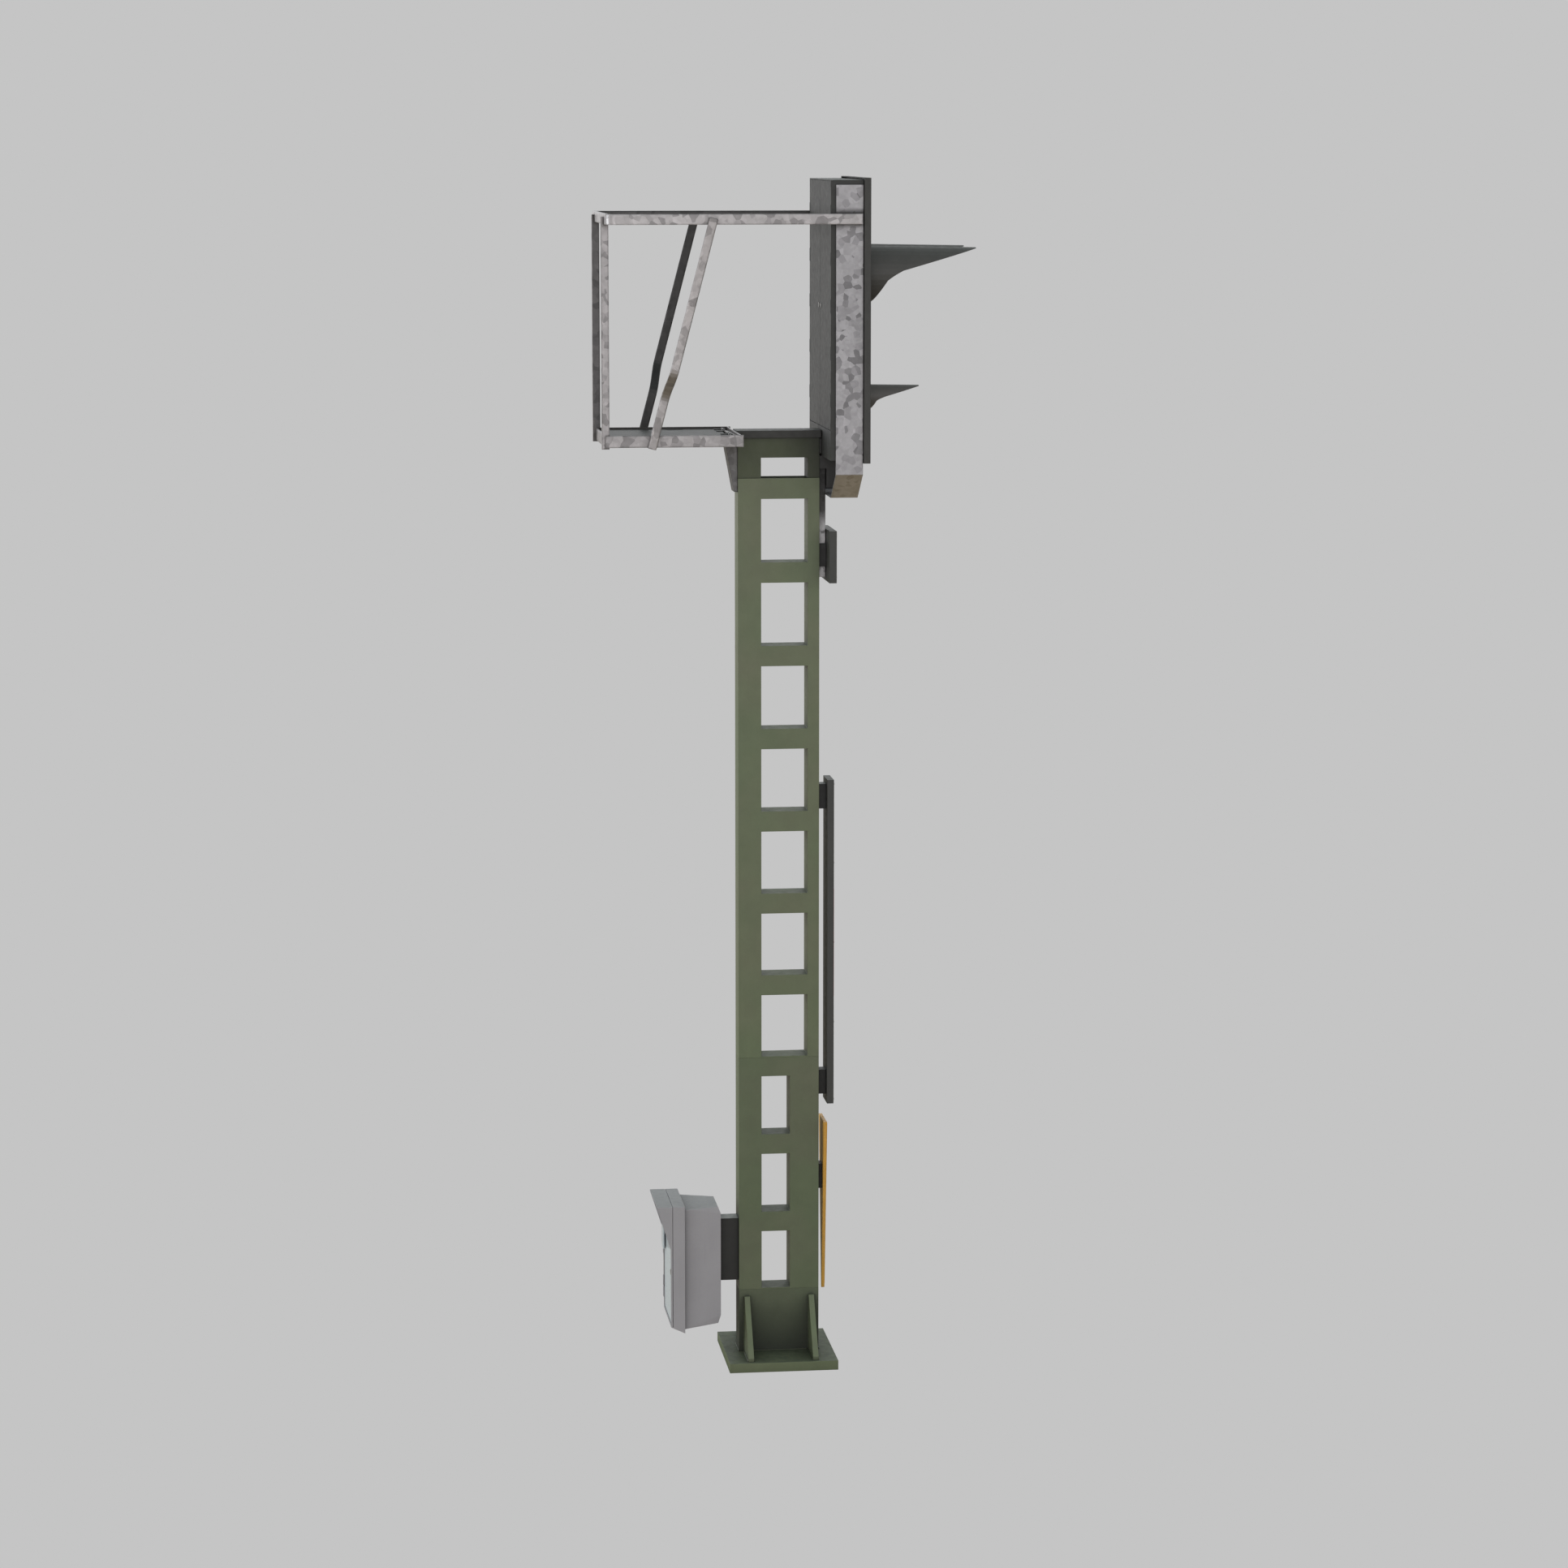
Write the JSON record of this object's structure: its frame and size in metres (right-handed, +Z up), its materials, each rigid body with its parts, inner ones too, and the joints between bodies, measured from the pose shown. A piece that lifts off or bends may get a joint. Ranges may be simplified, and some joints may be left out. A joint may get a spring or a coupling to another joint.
{
  "type": "colour-light railway signal on a mast",
  "caption": "Railway colour-light signal on a flat framed mast with hooded lamps, rear service leaves, a railed work basket, mast signs and a telephone box.",
  "frame": {"origin": "centre of the underside of the base plate, on the mast axis", "axes": "+Z up; -Y is where the lamps look; +Y is the basket and telephone side; X runs across the mast's thin side"},
  "size_m": [0.8446, 1.7483, 5.641],
  "materials": {
    "mast_green_paint": "satin",
    "galvanised_steel": "spangled",
    "dark_bracket_steel": "satin",
    "matt_charcoal": "matt",
    "housing_grey": "satin",
    "sign_back_grey": "satin",
    "floor_plate_grey": "satin",
    "orange_sheet": "satin",
    "grey_moulding": "fine texture",
    "pale_blue_panel": "gloss",
    "bright_steel": "brushed",
    "green_glass": "ribbed",
    "red_glass": "ribbed",
    "clear_glass": "ribbed",
    "terminal_plastic": "matt",
    "telephone_black": "semi-gloss"
  },
  "bodies": {
    "signal_mast": {"base_plate": "mast_green_paint", "gusset_front_left": "mast_green_paint", "gusset_front_right": "mast_green_paint", "gusset_rear_left": "mast_green_paint", "gusset_rear_right": "mast_green_paint", "foot_section": "mast_green_paint", "lower_mast": "mast_green_paint", "upper_mast": "mast_green_paint", "mast_head_section": "mast_green_paint", "head_strap": "galvanised_steel", "head_carrier": "galvanised_steel", "platform_frame": "galvanised_steel", "top_rail": "galvanised_steel", "corner_post_left": "galvanised_steel", "corner_post_right": "galvanised_steel", "brace_left": "galvanised_steel", "brace_right": "galvanised_steel", "platform_bracket": "galvanised_steel", "mast_cap": "dark_bracket_steel", "head_bracket": "dark_bracket_steel", "head_mount_pad": "dark_bracket_steel", "number_plate_clamp": "dark_bracket_steel", "sign_bracket_upper": "dark_bracket_steel", "sign_bracket_lower": "dark_bracket_steel", "triangle_bracket": "dark_bracket_steel", "box_bracket": "dark_bracket_steel", "front_panel": "matt_charcoal", "hood_left": "matt_charcoal", "hood_right": "matt_charcoal", "hood_small": "matt_charcoal", "lamp_unit_left": "matt_charcoal", "lamp_unit_right": "matt_charcoal", "lamp_unit_small": "matt_charcoal", "head_housing": "housing_grey", "number_plate": "sign_back_grey", "mast_sign": "sign_back_grey", "box_shell": "grey_moulding", "box_flange": "grey_moulding", "leaf_hinge_rod_left": "bright_steel", "leaf_hinge_rod_right": "bright_steel", "floor_hinge_pin": "bright_steel", "box_hinge_pin": "bright_steel", "triangle_plate": "orange_sheet", "lens_left": "green_glass", "lens_right": "red_glass", "lens_small": "clear_glass", "terminal_strip": "terminal_plastic", "telephone_set": "telephone_black"},
    "rear_leaf_left_body": {"rear_leaf_left": "housing_grey"},
    "rear_leaf_right_body": {"rear_leaf_right": "housing_grey"},
    "leaf_lock_left_body": {"leaf_lock_left": "bright_steel"},
    "leaf_lock_right_body": {"leaf_lock_right": "bright_steel"},
    "platform_floor_body": {"platform_floor": "floor_plate_grey"},
    "box_door_body": {"box_door": "grey_moulding", "box_door_panel": "pale_blue_panel"},
    "box_lock_body": {"box_lock": "bright_steel"},
    "handset_body": {"handset": "telephone_black"}
  },
  "joints": [
    {"name": "rear_leaf_left_hinge", "type": "hinge", "parent": "signal_mast", "child": "rear_leaf_left_body", "pos_m": [-0.3748, -0.2052, 5.0575], "axis": [0, 0, 1], "range_deg": [0, 90]},
    {"name": "rear_leaf_right_hinge", "type": "hinge", "parent": "signal_mast", "child": "rear_leaf_right_body", "pos_m": [0.3748, -0.2052, 5.0575], "axis": [0, 0, -1], "range_deg": [0, 90]},
    {"name": "leaf_lock_left_turn", "type": "hinge", "parent": "rear_leaf_left_body", "child": "leaf_lock_left_body", "pos_m": [-0.034, -0.203, 5.05], "axis": [0, 1, 0], "range_deg": [0, 90]},
    {"name": "leaf_lock_right_turn", "type": "hinge", "parent": "rear_leaf_right_body", "child": "leaf_lock_right_body", "pos_m": [0.034, -0.203, 5.05], "axis": [0, -1, 0], "range_deg": [0, 90]},
    {"name": "platform_floor_hinge", "type": "hinge", "parent": "signal_mast", "child": "platform_floor_body", "pos_m": [0, 0.236, 4.459], "axis": [1, 0, 0], "range_deg": [0, 88]},
    {"name": "box_door_hinge", "type": "hinge", "parent": "signal_mast", "child": "box_door_body", "pos_m": [0.19, 0.529, 0.5], "axis": [0, 0, -1], "range_deg": [0, 110]},
    {"name": "box_lock_turn", "type": "hinge", "parent": "box_door_body", "child": "box_lock_body", "pos_m": [-0.15, 0.5285, 0.47], "axis": [0, -1, 0], "range_deg": [0, 90]},
    {"name": "handset_lift", "type": "slide", "parent": "signal_mast", "child": "handset_body", "axis": [0, 0, 1], "range_m": [0, 0.04]}
  ]
}
